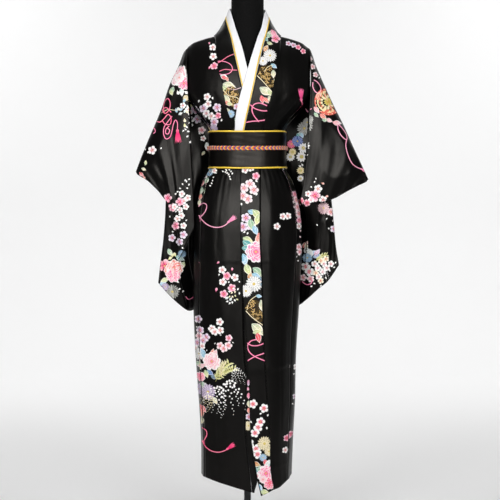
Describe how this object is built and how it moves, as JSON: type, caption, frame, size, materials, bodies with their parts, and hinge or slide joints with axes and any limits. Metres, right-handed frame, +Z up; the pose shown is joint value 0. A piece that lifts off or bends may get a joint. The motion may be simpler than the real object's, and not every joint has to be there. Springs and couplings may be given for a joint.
{
  "type": "yukata on dress form",
  "caption": "Long crossed-front yukata with hanging sleeves, printed overlap strip, white under-collar, sash and sash cord, worn by a limbless dress form on a pole stand",
  "frame": {"origin": "centre of the stand's underside, on the floor", "axes": "+Z up, the front of the garment faces -Y, the wearer's left side is at +X"},
  "size_m": [0.743, 0.38, 1.749],
  "materials": {
    "satin": "black satin with printed flowers",
    "white_satin": "white satin",
    "gold_piping": "gold satin piping",
    "sash_satin": "plain black satin",
    "cord": "braided cord, red and yellow with navy",
    "jersey": "black jersey cover, matt",
    "grey_metal": "dark grey, semi-gloss"
  },
  "bodies": {
    "root": {"front_right": "satin", "front_left": "satin", "overlap_right": "satin", "overlap_left": "satin", "back_right": "satin", "back_left": "satin", "sleeve_right": "satin", "sleeve_left": "satin", "neckband": "satin", "white_collar": "white_satin", "collar_piping": "gold_piping", "sash": "sash_satin", "sash_piping_top": "gold_piping", "sash_piping_bottom": "gold_piping", "sash_cord": "cord", "form_torso": "jersey", "form_neck_cap": "grey_metal", "form_pole": "grey_metal", "form_base": "grey_metal"}
  },
  "joints": []
}
